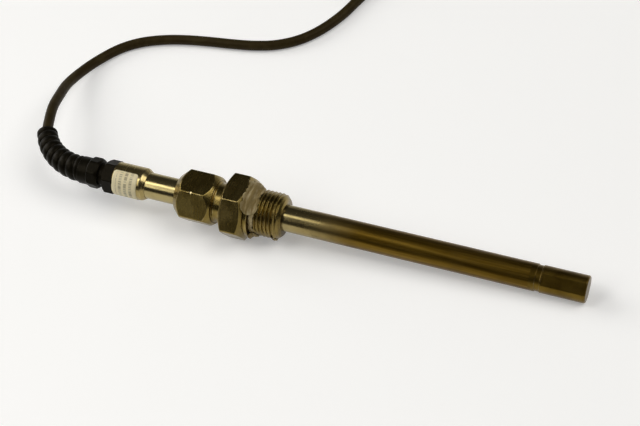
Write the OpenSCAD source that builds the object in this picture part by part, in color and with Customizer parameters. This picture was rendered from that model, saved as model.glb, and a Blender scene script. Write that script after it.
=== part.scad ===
// Resistance thermometer probe with a compression fitting, a cable gland and a fixed cable.
// The probe is drawn along its own axis: u runs from the gland (negative) to the tip (positive),
// and u = 0 is the sealing face of the fitting's process thread. It is then laid on the floor z = 0.

/* [Probe tube] */
// Outer diameter of the probe tube
tube_d = 12; // [11.5:0.1:12.5]
// Wall of the probe tube
tube_wall = 1; // [0.8:0.1:1.4]
// Insertion length, from the sealing face to the end of the tip
insertion = 150; // [110:5:260]
// Length of tube that shows between the fitting's nut and the transition sleeve
stub = 15.5; // [6:0.5:40]

/* [Probe tip] */
// Length of the solid tip piece in front of its ring groove
tip_len = 21.7; // [19:0.1:30]
// Width of the ring groove behind the tip piece
tip_groove_w = 2.7; // [1:0.1:4]
// Depth of the ring groove
tip_groove_depth = 0.45; // [0.2:0.05:0.8]
// Distance across the two spanner flats of the tip
tip_flats = 11; // [10.4:0.1:11.4]
// Chamfer at the end of the tip
tip_chamfer = 0.8; // [0.3:0.1:1.5]
// Length of the spigot that enters the tube
tip_spigot = 5; // [3:0.5:8]

/* [Measuring element] */
// Diameter of the ceramic measuring element
element_d = 4.5; // [4.2:0.1:5]
// Length of the measuring element
element_len = 20; // [12:1:22]
// Distance from the end of the tip to the measuring element
element_setback = 5; // [3:0.5:6]
// Diameter of one lead wire
lead_d = 0.6; // [0.4:0.05:0.8]
// Circle that the four lead wires stand on
lead_circle_d = 2.6; // [2.5:0.1:2.8]
// Diameter of one crimped splice
splice_d = 1.5; // [1.45:0.05:1.6]
// Length of one crimped splice
splice_len = 6; // [4:0.5:8]

/* [Fitting body] */
// Distance across the flats of the body's hexagon
body_af = 27; // [25:0.5:32]
// Length of the body's hexagon with its chamfers, behind the collar
body_hex_len = 11.2; // [10:0.2:16]
// Diameter of the sealing collar
collar_d = 24; // [23:0.5:25]
// Width of the sealing collar
collar_w = 1.8; // [1.5:0.1:4]
// Outer diameter of the process thread
thread_d = 20.955; // [20.4:0.005:22]
// Length of the process thread with its undercut
thread_len = 14; // [10:0.5:18]
// Width of the undercut behind the process thread
undercut_w = 3; // [2:0.1:3.6]
// Diameter of the undercut
undercut_d = 18.4; // [17:0.1:18.8]
// Chamfer at the end of the process thread
thread_chamfer = 1.8; // [1:0.1:2.4]
// Outer diameter of the threaded neck that the nut runs on
neck_d = 19; // [18.2:0.1:19.4]
// Length of the threaded neck
neck_len = 15.7; // [14.7:0.1:16.5]

/* [Fitting nut] */
// Distance across the flats of the nut
nut_af = 22; // [21.6:0.1:24]
// Length of the nut
nut_len = 18.7; // [18.2:0.1:22]
// Length of neck that shows between the nut and the body
neck_gap = 5; // [4:0.1:6]
// Diameter of the nut's flat rear face
nut_rear_d = 17; // [15:0.5:19]
// Turn of the nut against the body, in degrees
nut_turn = 2; // [-10:1:10]

/* [Transition sleeve] */
// Outer diameter of the transition sleeve
sleeve_d = 15; // [14.6:0.1:16]
// Length of the sleeve behind its shoulder
sleeve_len = 13.7; // [13:0.1:18]
// Length of the conical shoulder
shoulder_len = 2; // [1.5:0.1:3]
// Length of the label on the sleeve
label_len = 12; // [8:0.5:12.5]
// Part of the way round that the label goes, in degrees
label_angle = 230; // [150:10:300]
// Thickness of the label
label_t = 0.12; // [0.08:0.02:0.2]

/* [Cable gland] */
// Thread of the gland in the sleeve
gland_thread_d = 12; // [11.6:0.1:12.4]
// Length of that thread
gland_thread_len = 7; // [6:0.1:7.6]
// Distance across the flats of the gland body's collar
gland_af = 13.8; // [13.4:0.1:14.4]
// Width of the gland body's collar
gland_collar_w = 5.4; // [3.5:0.1:7]
// Gap between the collar and the cap
gland_gap = 2.8; // [2:0.1:3.4]
// Distance across the eight flats of the cap
cap_af = 13.4; // [13.1:0.1:14]
// Length of the cap without its spiral
cap_len = 10; // [9.6:0.1:12]
// Diameter of the cap's round rear end
cap_round_d = 12.6; // [12.2:0.1:12.8]
// Number of clamping fingers on the gland body
finger_count = 6; // [4:1:8]

/* [Bend protection spiral] */
// Distance between the turns of the spiral, along its middle
spiral_pitch = 3.9; // [3.4:0.1:4.8]
// Height of the rounded turns
spiral_rib = 0.95; // [0.5:0.05:1.2]
// Outer diameter of the spiral at its free end
spiral_end_d = 9.6; // [9:0.1:10.6]
// Radius of the bend that the spiral is pulled into
spiral_bend_r = 30; // [22:1:40]
// Angle of that bend, in degrees
spiral_bend_angle = 62; // [40:1:75]

/* [Cable] */
// Outer diameter of the cable
cable_d = 5; // [4.8:0.1:5.2]
// Diameter of one insulated core
core_d = 1.2; // [1:0.05:1.25]
// Turns in each of the two layers of the coil
coil_turns = 4.5; // [3:0.5:5.5]
// Thickness of the strap round the coil
strap_t = 0.6; // [0.4:0.1:1]
// Width of the strap
strap_w = 6; // [4:0.5:10]
// Length of the free cores past the end sleeve
free_core_len = 30; // [20:1:40]

/* [Hidden] */
$fn = 64;

// Clearances and small allowances
press_gap = 0.03;
bore_gap = 0.15;
slide_gap = 0.05;
cut = 1;

// Stations of the fitting along the probe axis
tube_r = tube_d / 2;
tube_bore_r = tube_r - tube_wall;
collar_rear_u = -collar_w;
body_rear_u = collar_rear_u - body_hex_len;
neck_rear_u = body_rear_u - neck_len;
nut_front_u = body_rear_u - neck_gap;
nut_rear_u = nut_front_u - nut_len;
body_corner_r = body_af / 2 / cos(30);
nut_corner_r = nut_af / 2 / cos(30);
corner_land = 0.12;
body_land_r = body_corner_r - corner_land;
nut_land_r = nut_corner_r - corner_land;
tube_hole_r = tube_r + slide_gap;
thread_r = thread_d / 2;
undercut_r = undercut_d / 2;
undercut_ramp = 1;
tape_t = 1.2;
neck_r = neck_d / 2;
neck_chamfer = 0.8;
neck_relief = 0.7;
collar_r = collar_d / 2;
edge = 0.3;
body_front_cone_len = 2.2;
body_front_cone_r = collar_r - 0.4;
body_rear_cone_len = 1.6;
body_rear_cone_r = body_af / 2 - 0.7;
nut_rear_cone_len = 4.4;
nut_front_cone_len = 3.2;
nut_front_r = neck_r + 0.7;

// Ferrules between the neck's mouth and the nut's rear wall
mouth_depth = 3;
mouth_r = tube_r + 1.7;
front_ferrule_len = 4.6;
front_ferrule_nose = 2.8;
front_ferrule_r = tube_r + 2.1;
back_ferrule_len = 2;
back_ferrule_r = tube_r + 1.5;
front_ferrule_rear_u = neck_rear_u + front_ferrule_nose - front_ferrule_len;
back_ferrule_rear_u = front_ferrule_rear_u - back_ferrule_len;
nut_thread_r = neck_r + press_gap;
seat_start = 0.2;
nut_chamber_r = front_ferrule_r + bore_gap;

// Stations of the transition sleeve and the gland
shoulder_front_u = nut_rear_u - stub;
shoulder_rear_u = shoulder_front_u - shoulder_len;
sleeve_rear_u = shoulder_rear_u - sleeve_len;
gland_thread_front_u = sleeve_rear_u + gland_thread_len;
ledge_w = 1.2;
tube_rear_u = gland_thread_front_u + ledge_w;
sleeve_r = sleeve_d / 2;
gland_thread_r = gland_thread_d / 2;
gasket_r = 0.5;
gasket_seat = 2 * (gasket_r + press_gap);
gasket_ring_r = gland_thread_r + gasket_r + press_gap;
gland_collar_rear_u = sleeve_rear_u - gland_collar_w;
cap_front_u = gland_collar_rear_u - gland_gap;
cap_rear_u = cap_front_u - cap_len;
cable_r = cable_d / 2;
cable_hole_r = cable_r + bore_gap;
gland_neck_r = 5.2;
seal_r = cable_r + 1;
seal_seat_r = seal_r + slide_gap;
finger_root_u = cap_front_u - 2.2;
finger_tip_u = cap_front_u - 7;
finger_cone_u = finger_tip_u + 2;
finger_tip_r = 4.4;
finger_slot_w = 0.8;
seal_front_u = finger_root_u + 2;
seal_rear_u = finger_tip_u + 0.4;
cap_flat_rear_u = cap_front_u - 5.6;
cap_front_r = gland_neck_r + 1;
cap_edge = 0.8;
cap_chamfer = 1.2;
cap_cone_len = 1.2;
cap_corner_r = cap_af / 2 / cos(180 / 8);
cap_land_r = cap_corner_r - corner_land;

// Turn of each piece about the probe axis; 0 has a corner or edge straight down
body_turn = 30;
gland_turn = -4;
cap_turn = -2;
flats_turn = -148;
label_turn = -171;

// Tip, element and wires
tip_r = tube_r;
flat_margin = 0.5;
groove_front_u = insertion - tip_len;
tube_front_u = groove_front_u - tip_groove_w;
spigot_r = tube_bore_r - press_gap;
spigot_rear_u = tube_front_u - tip_spigot;
element_front_u = insertion - element_setback;
element_rear_u = element_front_u - element_len;
element_hole_r = element_d / 2 + bore_gap;
core_r = core_d / 2;
lead_r = lead_d / 2;
splice_r = splice_d / 2;
jacket_end_u = gland_thread_front_u - 1;
splice_rear_u = tube_rear_u + 6;
splice_front_u = splice_rear_u + splice_len;
potting_front_u = splice_front_u + 2;
insulator_count = 4;
insulator_len = (spigot_rear_u - potting_front_u) / insulator_count;

// The spiral's own sweep
spiral_len = spiral_bend_r * spiral_bend_angle * PI / 180;
spiral_start_r = cap_round_d / 2 - 0.1;
spiral_end_r = spiral_end_d / 2;
spiral_bore_r = cable_hole_r + bore_gap;
spiral_sides = 32;
spiral_steps_a_turn = 6;
spiral_rings = round(spiral_len / spiral_pitch * spiral_steps_a_turn);
spiral_bore_rings = 14;
spiral_plain = 1.6;
spiral_neck = 0.5;

// How the probe lies: on one flat of the fitting body and on the round edge of its tip
body_cone_slope = (body_land_r - body_front_cone_r) / body_front_cone_len;
flat_front_u = collar_rear_u - (body_af / 2 - body_front_cone_r) / body_cone_slope;
rest_u = insertion - tip_chamfer;
rest_tilt = atan((body_af / 2 - tip_r) / (rest_u - flat_front_u));
axis_height = rest_u * sin(rest_tilt) + tip_r * cos(rest_tilt);

// The origin is under the middle of the probe, its fitting, its gland and the spiral
spiral_reach = (spiral_bend_r + spiral_end_r) * sin(spiral_bend_angle);
rear_x = (cap_rear_u - spiral_reach) * cos(rest_tilt);
front_x = insertion * cos(rest_tilt) + (tip_r - tip_chamfer) * sin(rest_tilt);
side_y = spiral_bend_r * (1 - cos(spiral_bend_angle)) + spiral_end_r * cos(spiral_bend_angle);
middle_x = (rear_x + front_x) / 2;
middle_y = (side_y - body_corner_r) / 2;

// The free cable on the floor, from a little past the spiral to just before the coil
cable_points = [
    [-133, 24, 18.2], [-136, 33, 16.8], [-138.5, 43, 13.8], [-141, 54, 9.8], [-141, 66, 5.8],
    [-138, 78, 3.2], [-131, 89, 2.5], [-122, 96, 2.5], [-111, 100.5, 2.5], [-100, 103, 2.5],
    [-88, 104.5, 2.5], [-76, 105.5, 2.5], [-64, 107, 2.5], [-53, 110, 2.5], [-43, 116, 2.5],
    [-35, 125, 2.5], [-28.5, 137, 2.5], [-24, 150, 2.6], [-18, 167.3, 3]
];
cable_sides = 10;
bend_steps = 10;
core_sides = 8;

// The coil: two flat layers on the strap, wound at one cable diameter a turn
coil_centre = [-53, 198];
coil_heading = 75.5;
coil_mean_r = 30.25;
coil_in_r = coil_mean_r - coil_turns * cable_d / 2;
coil_out_r = coil_mean_r + coil_turns * cable_d / 2;
coil_low_z = strap_t;
coil_high_z = strap_t + 2 * cable_d;
strap_gap = 0.1;
strap_turn = 150;

// The tail leaves the top layer, comes down to the floor and ends in bare cores
tail_start = 21;
tail_end = 55;
end_sleeve_r = cable_r + 0.45;
tail_points = [
    [tail_start, 6.3], [26, 5], [31, 3.7], [38, 3], [47, end_sleeve_r], [tail_end, end_sleeve_r]
];
end_sleeve_len = 14;
end_sleeve_lap = 6;
end_sleeve_front_r = 2.3;
free_core_bend_r = 20;
end_ferrule_d = 1.8;
end_ferrule_len = 8;
free_core_spread = [6, -6, -2.2, 2.2];
core_corners = [for (i = [0 : 3]) 45 + 90 * i];

// ---------- Placing and small helpers ----------

// Lays a piece that is drawn along the probe axis on the floor
module laid() {
    translate([-middle_x, -middle_y, axis_height])
        rotate([0, rest_tilt, 0])
            children();
}

// Turns a shape drawn along +Z on to the probe axis, then about that axis
module on_axis(turn = 0) {
    rotate([turn, 0, 0])
        rotate([0, 90, 0])
            children();
}

// A solid of revolution about the probe axis; each point is [radius, station]
module turned(profile) {
    on_axis()
        rotate_extrude()
            polygon(profile);
}

// A straight round bar from one station to another
module bar(r, from_u, to_u) {
    translate([from_u, 0, 0])
        rotate([0, 90, 0])
            cylinder(r = r, h = to_u - from_u);
}

// A prism with that many flats from one station to another
module prism(corner_r, sides, turn, from_u, to_u) {
    on_axis(turn)
        translate([0, 0, from_u])
            cylinder(r = corner_r, h = to_u - from_u, $fn = sides);
}

// Puts a piece on the circle of the lead wires, at its corner
module at_wire(index) {
    rotate([core_corners[index], 0, 0])
        translate([0, lead_circle_d / 2, 0])
            children();
}

// ---------- Probe tube, tip and what they hold ----------

module probe_tube() {
    color([0.45, 0.38, 0.2])
        laid()
            difference() {
                bar(tube_r, tube_rear_u, tube_front_u);
                bar(tube_bore_r, tube_rear_u - cut, tube_front_u + cut);
            }
}

module tip_plug() {
    color([0.5, 0.43, 0.25])
        laid()
            difference() {
                turned([
                    [0, spigot_rear_u], [spigot_r, spigot_rear_u], [spigot_r, tube_front_u],
                    [tip_r - tip_groove_depth, tube_front_u],
                    [tip_r - tip_groove_depth, groove_front_u], [tip_r, groove_front_u],
                    [tip_r, insertion - tip_chamfer], [tip_r - tip_chamfer, insertion],
                    [0, insertion]
                ]);
                bar(element_hole_r, spigot_rear_u - cut, element_front_u);
                for (side = [0, 180])
                    rotate([flats_turn + side, 0, 0])
                        translate([groove_front_u + flat_margin, -tip_r, -tip_r - tip_flats / 2])
                            cube([tip_len + cut, tube_d, tip_r]);
            }
}

module rtd_element() {
    color([0.93, 0.92, 0.88])
        laid()
            bar(element_d / 2, element_rear_u, element_front_u);
}

// One ceramic insulator with its four wire holes
module insulator(index) {
    rear_u = potting_front_u + index * insulator_len;
    color([0.9, 0.88, 0.8])
        laid()
            difference() {
                bar(tube_bore_r - bore_gap, rear_u, rear_u + insulator_len);
                for (i = [0 : 3])
                    at_wire(i)
                        bar(lead_r + bore_gap, rear_u - cut, rear_u + insulator_len + cut);
            }
}

module lead(index) {
    color([0.75, 0.73, 0.68])
        laid()
            at_wire(index)
                bar(lead_r, splice_front_u - splice_len / 2, element_rear_u);
}

// A crimped barrel that joins one lead to one core
module splice(index) {
    color([0.7, 0.7, 0.7])
        laid()
            at_wire(index)
                difference() {
                    bar(splice_r, splice_rear_u, splice_front_u);
                    bar(lead_r + press_gap, splice_front_u - splice_len / 2, splice_front_u + cut);
                }
}

// The end of a cable core, from the cable's jacket to its splice
module core(index) {
    color(index % 2 == 0 ? [0.7, 0.1, 0.08] : [0.9, 0.9, 0.88])
        laid()
            at_wire(index)
                bar(core_r, jacket_end_u, splice_rear_u);
}

module potting_plug() {
    color([0.12, 0.12, 0.13])
        laid()
            difference() {
                bar(tube_bore_r - press_gap, tube_rear_u, potting_front_u);
                for (i = [0 : 3])
                    at_wire(i) {
                        bar(core_r + press_gap, tube_rear_u - cut, splice_rear_u);
                        bar(splice_r + press_gap, splice_rear_u, splice_front_u);
                        bar(lead_r + press_gap, splice_front_u, potting_front_u + cut);
                    }
            }
}

// ---------- Transition sleeve and its label ----------

module transition_sleeve() {
    seat_r = gasket_ring_r + gasket_r + slide_gap;
    socket_r = tube_r + slide_gap;
    color([0.78, 0.74, 0.6])
        laid()
            turned([
                [seat_r, sleeve_rear_u], [sleeve_r, sleeve_rear_u], [sleeve_r, shoulder_rear_u],
                [socket_r + edge / 2, shoulder_front_u], [socket_r, shoulder_front_u],
                [socket_r, tube_rear_u], [tube_bore_r, tube_rear_u],
                [tube_bore_r, gland_thread_front_u],
                [gland_thread_r + press_gap, gland_thread_front_u],
                [gland_thread_r + press_gap, sleeve_rear_u + gasket_seat],
                [seat_r, sleeve_rear_u + gasket_seat]
            ]);
}

module label() {
    label_r = sleeve_r + press_gap;
    color([0.92, 0.9, 0.82])
        laid()
            on_axis(label_turn)
                rotate_extrude(angle = label_angle)
                    translate([label_r, sleeve_rear_u + edge])
                        square([label_t, label_len]);
}

// ---------- Compression fitting ----------

module fitting_body() {
    mouth_u = neck_rear_u + mouth_depth;
    color([0.36, 0.3, 0.16])
        laid()
            difference() {
                union() {
                    intersection() {
                        prism(body_corner_r, 6, body_turn, body_rear_u, collar_rear_u);
                        turned([
                            [0, body_rear_u], [body_rear_cone_r, body_rear_u],
                            [body_land_r, body_rear_u + body_rear_cone_len],
                            [body_land_r, collar_rear_u - body_front_cone_len],
                            [body_front_cone_r, collar_rear_u], [0, collar_rear_u]
                        ]);
                    }
                    turned([
                        [0, neck_rear_u], [neck_r - neck_chamfer, neck_rear_u],
                        [neck_r, neck_rear_u + neck_chamfer], [neck_r, nut_front_u],
                        [neck_r - neck_relief, nut_front_u + neck_relief],
                        [neck_r - neck_relief, collar_rear_u], [collar_r - edge, collar_rear_u],
                        [collar_r, collar_rear_u + edge], [collar_r, -edge], [collar_r - edge, 0],
                        [undercut_r, 0], [undercut_r, undercut_w - undercut_ramp],
                        [thread_r, undercut_w], [thread_r, thread_len - thread_chamfer],
                        [thread_r - thread_chamfer, thread_len], [0, thread_len]
                    ]);
                }
                bar(tube_hole_r, neck_rear_u - cut, thread_len + cut);
                turned([
                    [0, neck_rear_u - cut], [mouth_r, neck_rear_u - cut],
                    [mouth_r, neck_rear_u], [tube_hole_r, mouth_u], [0, mouth_u]
                ]);
            }
}

module fitting_nut() {
    wall_u = back_ferrule_rear_u;
    thread_end_u = neck_rear_u - edge;
    color([0.36, 0.3, 0.16])
        laid()
            difference() {
                intersection() {
                    prism(nut_corner_r, 6, body_turn + nut_turn, nut_rear_u, nut_front_u);
                    turned([
                        [0, nut_rear_u], [nut_rear_d / 2, nut_rear_u],
                        [nut_land_r, nut_rear_u + nut_rear_cone_len],
                        [nut_land_r, nut_front_u - nut_front_cone_len],
                        [nut_front_r, nut_front_u], [0, nut_front_u]
                    ]);
                }
                bar(tube_hole_r, nut_rear_u - cut, nut_front_u);
                bar(nut_chamber_r, wall_u, nut_front_u);
                bar(nut_thread_r, thread_end_u, nut_front_u + cut);
            }
}

// The front ferrule's nose is wedged into the mouth of the neck
module front_ferrule() {
    shoulder_u = neck_rear_u - seat_start;
    nose_u = front_ferrule_rear_u + front_ferrule_len;
    seat_slope = (mouth_r - tube_hole_r) / mouth_depth;
    seat_u = neck_rear_u + seat_start;
    seat_r = mouth_r - seat_slope * (seat_u - neck_rear_u) - press_gap;
    nose_r = mouth_r - seat_slope * (nose_u - neck_rear_u) - press_gap;
    color([0.72, 0.7, 0.64])
        laid()
            turned([
                [tube_r + press_gap, front_ferrule_rear_u],
                [front_ferrule_r, front_ferrule_rear_u], [front_ferrule_r, shoulder_u - 2 * edge],
                [seat_r, shoulder_u], [seat_r, seat_u], [nose_r, nose_u],
                [tube_r + press_gap, nose_u]
            ]);
}

module back_ferrule() {
    color([0.72, 0.7, 0.64])
        laid()
            turned([
                [tube_r + press_gap, back_ferrule_rear_u], [back_ferrule_r, back_ferrule_rear_u],
                [back_ferrule_r, back_ferrule_rear_u + back_ferrule_len / 2],
                [back_ferrule_r - 2 * edge, front_ferrule_rear_u],
                [tube_r + press_gap, front_ferrule_rear_u]
            ]);
}

// What is left of the sealing tape, pressed into the undercut against the collar
module thread_seal() {
    color([0.75, 0.68, 0.5])
        laid()
            turned([
                [undercut_r + press_gap, press_gap], [undercut_r + 0.7 * tape_t, press_gap],
                [undercut_r + tape_t, 0.2 * undercut_w], [undercut_r + 0.7 * tape_t, 0.5 * undercut_w],
                [undercut_r + 0.4 * tape_t, undercut_w - undercut_ramp],
                [undercut_r + press_gap, undercut_w - undercut_ramp]
            ]);
}

// ---------- Cable gland ----------

module gland_body() {
    collar_chamfer_r = gland_af / 2 + edge / 2;
    collar_corner_r = gland_af / 2 / cos(30);
    collar_land_r = collar_corner_r - corner_land;
    color([0.1, 0.09, 0.08])
        laid()
            difference() {
                union() {
                    intersection() {
                        prism(collar_corner_r, 6, gland_turn, gland_collar_rear_u, sleeve_rear_u);
                        turned([
                            [0, gland_collar_rear_u], [collar_chamfer_r, gland_collar_rear_u],
                            [collar_land_r, gland_collar_rear_u + 2 * edge],
                            [collar_land_r, sleeve_rear_u - edge],
                            [collar_chamfer_r, sleeve_rear_u], [0, sleeve_rear_u]
                        ]);
                    }
                    turned([
                        [0, finger_tip_u], [finger_tip_r, finger_tip_u],
                        [gland_neck_r, finger_cone_u], [gland_neck_r, sleeve_rear_u],
                        [gland_thread_r, sleeve_rear_u], [gland_thread_r, gland_thread_front_u],
                        [0, gland_thread_front_u]
                    ]);
                }
                bar(cable_hole_r, finger_tip_u - cut, gland_thread_front_u + cut);
                bar(seal_seat_r, finger_tip_u - cut, seal_front_u);
                for (i = [0 : finger_count - 1])
                    rotate([360 / finger_count * i, 0, 0])
                        translate([finger_tip_u - cut, 0, -finger_slot_w / 2])
                            cube([finger_root_u - finger_tip_u + cut, gland_neck_r + cut,
                                finger_slot_w]);
            }
}

module gland_gasket() {
    color([0.06, 0.06, 0.06])
        laid()
            on_axis()
                translate([0, 0, sleeve_rear_u + gasket_seat / 2])
                    rotate_extrude()
                        translate([gasket_ring_r, 0])
                            circle(r = gasket_r);
}

module gland_seal() {
    color([0.2, 0.2, 0.2])
        laid()
            turned([
                [cable_r + press_gap, seal_rear_u], [seal_r - edge, seal_rear_u],
                [seal_r, seal_rear_u + 2 * edge], [seal_r, seal_front_u],
                [cable_r + press_gap, seal_front_u]
            ]);
}

// The middle line of the bent spiral, at an angle along its bend
function bend_point(angle) = [
    cap_rear_u - spiral_bend_r * sin(angle), spiral_bend_r * (1 - cos(angle)), 0
];

// One ring of points about that line, with a radius for each side
function bend_ring(angle, radii) = [
    for (j = [0 : spiral_sides - 1])
        let (phi = 360 * j / spiral_sides)
            bend_point(angle)
                + radii[j] * (cos(phi) * [sin(angle), cos(angle), 0] + sin(phi) * [0, 0, 1])
];

// Outer radius of the spiral: a tapered wall with one rounded turn wound round it
function spiral_radius(len, phi) =
    let (
        crest = spiral_start_r + (spiral_end_r - spiral_start_r) * len / spiral_len,
        place = len / spiral_pitch + phi / 360,
        turn = sqrt(sin(180 * (place - floor(place))))
    )
    len < spiral_neck ? crest - spiral_rib / 2
        : len > spiral_len - spiral_plain ? crest
        : crest - spiral_rib * (1 - turn);

// Triangles between successive rings of points, facing outwards or inwards
function skin(first, rings, sides, outwards) = [
    for (i = [0 : rings - 2])
        for (j = [0 : sides - 1])
            let (
                a = first + i * sides + j,
                b = first + i * sides + (j + 1) % sides,
                c = b + sides,
                d = a + sides
            )
            each outwards ? [[a, b, c], [a, c, d]] : [[a, c, b], [a, d, c]]
];

// Triangles across the wall at an end, between an outer and an inner ring of points
function rim(outer, inner, sides, at_start) = [
    for (j = [0 : sides - 1])
        let (next = (j + 1) % sides, a = outer + j, b = outer + next, c = inner + next, d = inner + j)
            each at_start ? [[a, d, c], [a, c, b]] : [[a, b, c], [a, c, d]]
];

// Starts half a ring inside the cap, so that no ring lies in the cap's rear face
module spiral() {
    outer_points = [
        for (i = [0 : spiral_rings])
            let (share = (i - 0.5) / (spiral_rings - 0.5))
                each bend_ring(spiral_bend_angle * share, [
                    for (j = [0 : spiral_sides - 1])
                        spiral_radius(spiral_len * share, 360 * j / spiral_sides)
                ])
    ];
    bore_points = [
        for (i = [0 : spiral_bore_rings])
            let (share = (i / spiral_bore_rings * spiral_rings - 0.5) / (spiral_rings - 0.5))
                each bend_ring(spiral_bend_angle * share, [
                    for (j = [0 : spiral_sides - 1]) spiral_bore_r
                ])
    ];
    bore_first = len(outer_points);
    outer_last = bore_first - spiral_sides;
    bore_last = bore_first + spiral_bore_rings * spiral_sides;
    polyhedron(
        points = concat(outer_points, bore_points),
        faces = concat(
            skin(0, spiral_rings + 1, spiral_sides, true),
            skin(bore_first, spiral_bore_rings + 1, spiral_sides, false),
            rim(0, bore_first, spiral_sides, true),
            rim(outer_last, bore_last, spiral_sides, false)
        )
    );
}

// The cap clamps the fingers on the seal; the spiral is moulded in one with it
module gland_cap() {
    cap_round_r = cap_round_d / 2;
    thread_hole_r = gland_neck_r + slide_gap;
    color([0.07, 0.065, 0.055])
        laid() {
            difference() {
                union() {
                    intersection() {
                        prism(cap_corner_r, 8, cap_turn, cap_flat_rear_u, cap_front_u);
                        turned([
                            [0, cap_flat_rear_u], [cap_round_r, cap_flat_rear_u],
                            [cap_land_r, cap_flat_rear_u + cap_edge],
                            [cap_land_r, cap_front_u - cap_chamfer],
                            [cap_front_r, cap_front_u], [0, cap_front_u]
                        ]);
                    }
                    turned([
                        [0, cap_rear_u], [cap_round_r - edge / 2, cap_rear_u],
                        [cap_round_r, cap_rear_u + edge / 2], [cap_round_r, cap_flat_rear_u],
                        [cap_round_r - edge, cap_flat_rear_u],
                        [cap_round_r - edge, cap_flat_rear_u + edge], [0, cap_flat_rear_u + edge]
                    ]);
                }
                turned([
                    [0, cap_rear_u - cut], [cable_hole_r, cap_rear_u - cut],
                    [cable_hole_r, finger_tip_u - cap_cone_len],
                    [finger_tip_r + slide_gap, finger_tip_u - slide_gap],
                    [thread_hole_r, finger_cone_u], [thread_hole_r, cap_front_u + cut],
                    [0, cap_front_u + cut]
                ]);
            }
            spiral();
        }
}

// ---------- Cable ----------

// The stretch of cable that the gland and the spiral hold
module cable_held() {
    color([0.2, 0.18, 0.12])
        swept(
            [laid_point([jacket_end_u, 0, 0]), for (i = [0 : bend_steps]) held_point(i)],
            laid_direction([-1, 0, 0]), exit_direction, cable_r, cable_sides
        );
}

// A point and a direction of the probe's own frame, as they lie
function laid_direction(p) = [
    p.x * cos(rest_tilt) + p.z * sin(rest_tilt), p.y, p.z * cos(rest_tilt) - p.x * sin(rest_tilt)
];
function laid_point(p) = laid_direction(p) + [-middle_x, -middle_y, axis_height];
function unit(v) = v / norm(v);

// One ring of points about a path, square to its direction there
function path_ring(point, direction, r, sides) =
    let (
        across = unit(cross(direction, [0, 0, 1])),
        above = cross(across, direction)
    )
    [
        for (j = [0 : sides - 1])
            let (phi = 360 * j / sides)
                point + r * (cos(phi) * across + sin(phi) * above)
    ];

// A round bar swept along a path from its first to its last direction
module swept(path, first_direction, last_direction, r, sides) {
    last = len(path) - 1;
    directions = [
        for (i = [0 : last])
            i == 0 ? first_direction
                : i == last ? last_direction
                : unit(path[i + 1] - path[i - 1])
    ];
    polyhedron(
        points = [for (i = [0 : last]) each path_ring(path[i], directions[i], r, sides)],
        faces = concat(
            skin(0, last + 1, sides, true),
            [[for (j = [0 : sides - 1]) sides - 1 - j]],
            [[for (j = [0 : sides - 1]) last * sides + j]]
        )
    );
}

heading = [cos(coil_heading), sin(coil_heading), 0];
coil_touch = [
    coil_centre.x + coil_out_r * sin(coil_heading), coil_centre.y - coil_out_r * cos(coil_heading), 0
];
function held_point(i) = laid_point(bend_point(spiral_bend_angle * i / bend_steps));
exit_point = held_point(bend_steps);
exit_direction = laid_direction([-cos(spiral_bend_angle), sin(spiral_bend_angle), 0]);

module cable() {
    color([0.2, 0.18, 0.12])
        swept(concat([exit_point], cable_points), exit_direction, heading, cable_r, cable_sides);
}

module cable_coil() {
    color([0.2, 0.18, 0.12])
        translate([coil_centre.x, coil_centre.y, 0])
            rotate_extrude()
                translate([coil_in_r - cable_r, coil_low_z])
                    square([coil_out_r - coil_in_r + cable_d, coil_high_z - coil_low_z]);
}

module cable_tail() {
    path = [for (p = tail_points) coil_touch + p[0] * heading + [0, 0, p[1]]];
    color([0.2, 0.18, 0.12])
        swept(path, heading, heading, cable_r, cable_sides);
}

// The strap goes under the coil, so the coil lies on it
module coil_strap() {
    inner_r = sqrt(pow(coil_in_r - cable_r, 2) - pow(strap_w / 2, 2)) - strap_gap;
    outer_r = coil_out_r + cable_r + strap_gap;
    color([0.08, 0.08, 0.08])
        translate([coil_centre.x, coil_centre.y, 0])
            rotate([0, 0, strap_turn])
                difference() {
                    translate([inner_r - strap_t, -strap_w / 2, 0])
                        cube([outer_r - inner_r + 2 * strap_t, strap_w,
                            coil_high_z + strap_gap + strap_t]);
                    translate([inner_r, -strap_w / 2 - cut, strap_t])
                        cube([outer_r - inner_r, strap_w + 2 * cut,
                            coil_high_z + strap_gap - strap_t]);
                }
}

// ---------- Bare end of the cable ----------

// Puts a piece on the tail's straight end, with +X along the cable
module on_tail(distance) {
    translate(coil_touch + distance * heading + [0, 0, end_sleeve_r])
        rotate([0, 0, coil_heading])
            children();
}

module end_sleeve() {
    front = end_sleeve_len - end_sleeve_lap;
    color([0.05, 0.05, 0.05])
        on_tail(tail_end)
            difference() {
                turned([
                    [0, -end_sleeve_lap], [end_sleeve_r, -end_sleeve_lap], [end_sleeve_r, 0.5],
                    [end_sleeve_front_r, front / 2], [end_sleeve_front_r, front], [0, front]
                ]);
                bar(cable_r + slide_gap, -end_sleeve_lap - cut, 0);
                for (i = [0 : 3])
                    at_wire(i)
                        bar(core_r + press_gap, -cut, front + cut);
            }
}

// Puts a piece at the start of a free core, turned so that the core bends towards +Y to its place
module on_free_core(index) {
    front = end_sleeve_len - end_sleeve_lap;
    start = lead_circle_d / 2 * [cos(core_corners[index]), sin(core_corners[index])];
    on_tail(tail_end + front)
        translate([0, start.x, start.y])
            rotate([core_fall(index)[0], 0, 0])
                children();
}

// Direction and angle of the bend that brings a free core down to its place on the floor
function core_fall(index) =
    let (
        start = lead_circle_d / 2 * [cos(core_corners[index]), sin(core_corners[index])],
        goal = [free_core_spread[index], end_ferrule_d / 2 - end_sleeve_r],
        fall = goal - start,
        reach = norm([free_core_bend_r, free_core_len]),
        bend = acos((free_core_bend_r - norm(fall)) / reach) - atan(free_core_len / free_core_bend_r)
    )
    [atan2(fall.y, fall.x), bend];

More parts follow.
